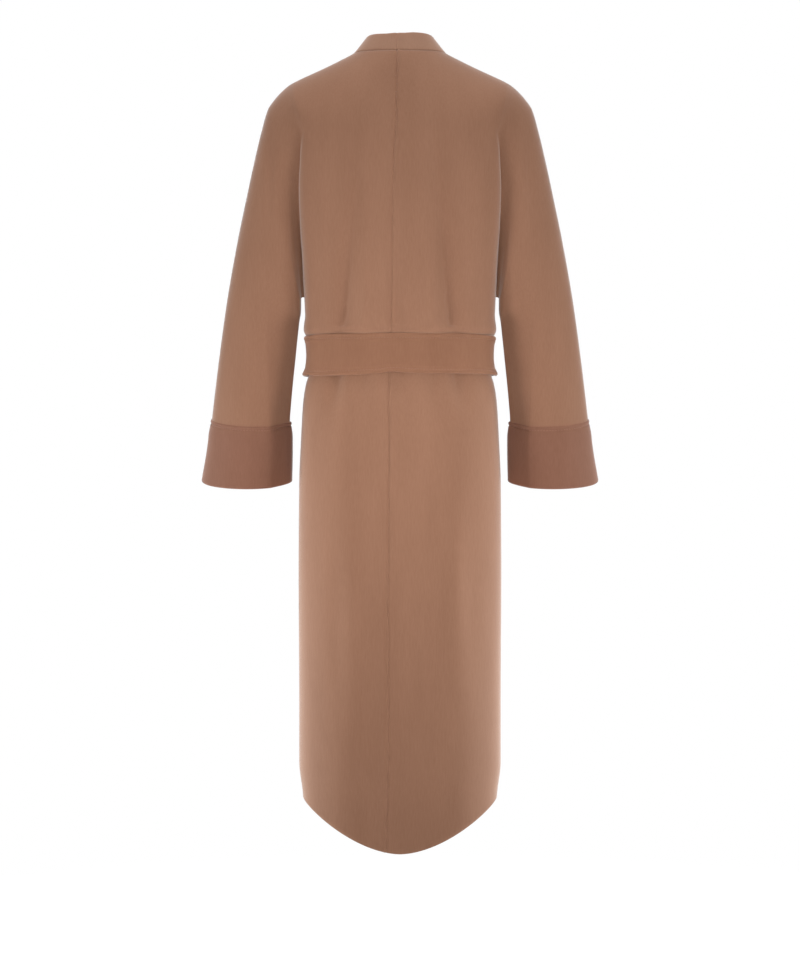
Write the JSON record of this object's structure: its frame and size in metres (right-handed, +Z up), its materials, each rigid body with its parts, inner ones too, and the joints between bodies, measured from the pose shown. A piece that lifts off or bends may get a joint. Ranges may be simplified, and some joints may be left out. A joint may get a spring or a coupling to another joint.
{
  "type": "belted wool wrap coat",
  "caption": "Long hollow wool wrap coat with kimono sleeves, turned-back cuffs, a band collar, a curved slit hem and a tie belt.",
  "frame": {"origin": "middle of the neck opening, level with the neck points where the collar meets the shoulder seams", "axes": "+Z up the wearer's body, +X to the wearer's left, the front faces -Y and the back faces +Y"},
  "size_m": [0.6232, 0.2437, 1.2499],
  "materials": {
    "wool": "milled double-faced wool with a short brushed nap, camel brown, matt with a pale sheen at grazing angles",
    "wool_cuff": "the same double-faced wool turned back in two layers, a little darker",
    "wool_belt": "the same double-faced wool in two layers, topstitched along both edges"
  },
  "bodies": {
    "root": {"left_back": "wool", "left_sleeve_back": "wool", "right_back": "wool", "right_sleeve_back": "wool", "left_front": "wool", "left_sleeve_front": "wool", "left_sleeve_front_forearm": "wool", "left_sleeve_front_wrist": "wool", "right_front": "wool", "right_sleeve_front": "wool", "right_sleeve_front_forearm": "wool", "right_sleeve_front_wrist": "wool", "left_cuff": "wool_cuff", "right_cuff": "wool_cuff", "left_collar": "wool", "right_collar": "wool", "belt": "wool_belt", "belt_knot": "wool_belt", "belt_left_end": "wool_belt", "belt_right_end": "wool_belt"}
  },
  "joints": []
}
